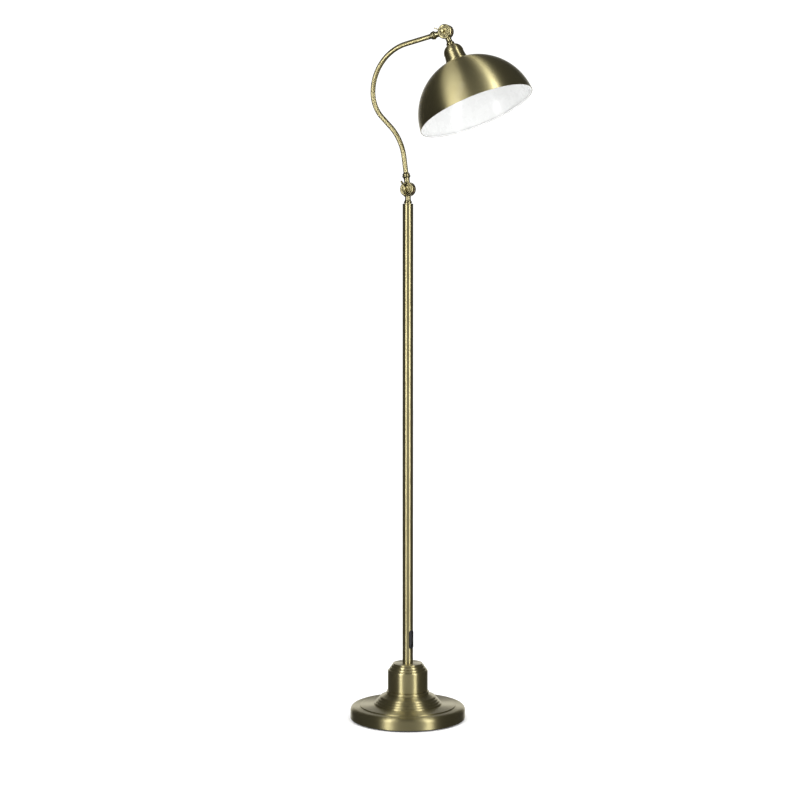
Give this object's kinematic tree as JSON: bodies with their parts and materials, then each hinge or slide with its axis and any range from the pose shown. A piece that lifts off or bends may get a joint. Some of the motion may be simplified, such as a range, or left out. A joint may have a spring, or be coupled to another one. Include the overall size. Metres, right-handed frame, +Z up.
{
  "type": "pharmacy floor lamp",
  "caption": "Floor lamp with a round weighted base, slim pole, S-curved arm on two wing-screw knuckles and a tilting domed shade.",
  "frame": {"origin": "centre of the foot pad's underside, on the floor", "axes": "+Z up along the pole; +X towards the shade, in the arm's plane; both hinge axes run along Y"},
  "size_m": [0.4088, 0.255, 1.52],
  "materials": {
    "antique_brass": "antique brass, satin lacquered, brushed round its turned parts",
    "shade_brass": "antique brass outside, brushed round; white enamel inside",
    "plated_steel": "zinc plated",
    "washer_fibre": "red-brown vulcanised fibre",
    "black_moulding": "black moulded plastic",
    "foot_rubber": "black rubber sheet",
    "weight_iron": "as cast, dark",
    "porcelain": "white unglazed porcelain",
    "contact_brass": "bright rolled brass sheet",
    "wire_sleeve": "pale insulated two-core lamp wire"
  },
  "bodies": {
    "root": {"foot_pad": "foot_rubber", "base_weight": "weight_iron", "base_shell": "antique_brass", "base_washer": "plated_steel", "base_nut": "plated_steel", "tie_rod": "plated_steel", "neck_bell": "antique_brass", "pole_foot_plug": "plated_steel", "pole_lower_tube": "antique_brass", "pole_joint_socket": "plated_steel", "pole_joint_stud": "plated_steel", "pole_upper_tube": "antique_brass", "pole_top_plug": "antique_brass", "cord_outlet": "black_moulding", "pole_wire": "wire_sleeve", "lower_nipple": "plated_steel", "lower_knuckle_fixed": "antique_brass", "lower_friction_washer": "washer_fibre"},
    "arm": {"lower_knuckle_moving": "antique_brass", "lower_screw_washer": "antique_brass", "arm_lower_ferrule": "antique_brass", "arm_tube": "antique_brass", "arm_upper_ferrule": "antique_brass", "arm_wire": "wire_sleeve", "upper_knuckle_arm": "antique_brass", "upper_screw_washer": "antique_brass"},
    "shade": {"upper_knuckle_shade": "antique_brass", "upper_friction_washer": "washer_fibre", "shade_nipple": "plated_steel", "holder_cap": "antique_brass", "holder_skirt": "antique_brass", "holder_locknut": "plated_steel", "lamp_holder": "black_moulding", "contact_block": "porcelain", "screw_shell": "contact_brass", "centre_contact": "contact_brass", "shade_dome": "shade_brass", "shade_ring_nut": "black_moulding", "shade_wire": "wire_sleeve"},
    "lower_wing": {"lower_wing_screw": "antique_brass"},
    "upper_wing": {"upper_wing_screw": "antique_brass"}
  },
  "joints": [
    {"name": "arm_tilt", "type": "hinge", "parent": "root", "child": "arm", "pos_m": [0, 0, 1.17068], "axis": [0, 1, 0], "range_deg": [-30, 45]},
    {"name": "shade_tilt", "type": "hinge", "parent": "arm", "child": "shade", "pos_m": [0.09095, 0, 1.50425], "axis": [0, -1, 0], "range_deg": [-20, 60]},
    {"name": "lower_wing_turn", "type": "hinge", "parent": "root", "child": "lower_wing", "pos_m": [0, -0.015, 1.17068], "axis": [0, -1, 0], "range_deg": [0, 450]},
    {"name": "upper_wing_turn", "type": "hinge", "parent": "shade", "child": "upper_wing", "pos_m": [0.09095, -0.015, 1.50425], "axis": [0, -1, 0], "range_deg": [0, 450]}
  ]
}
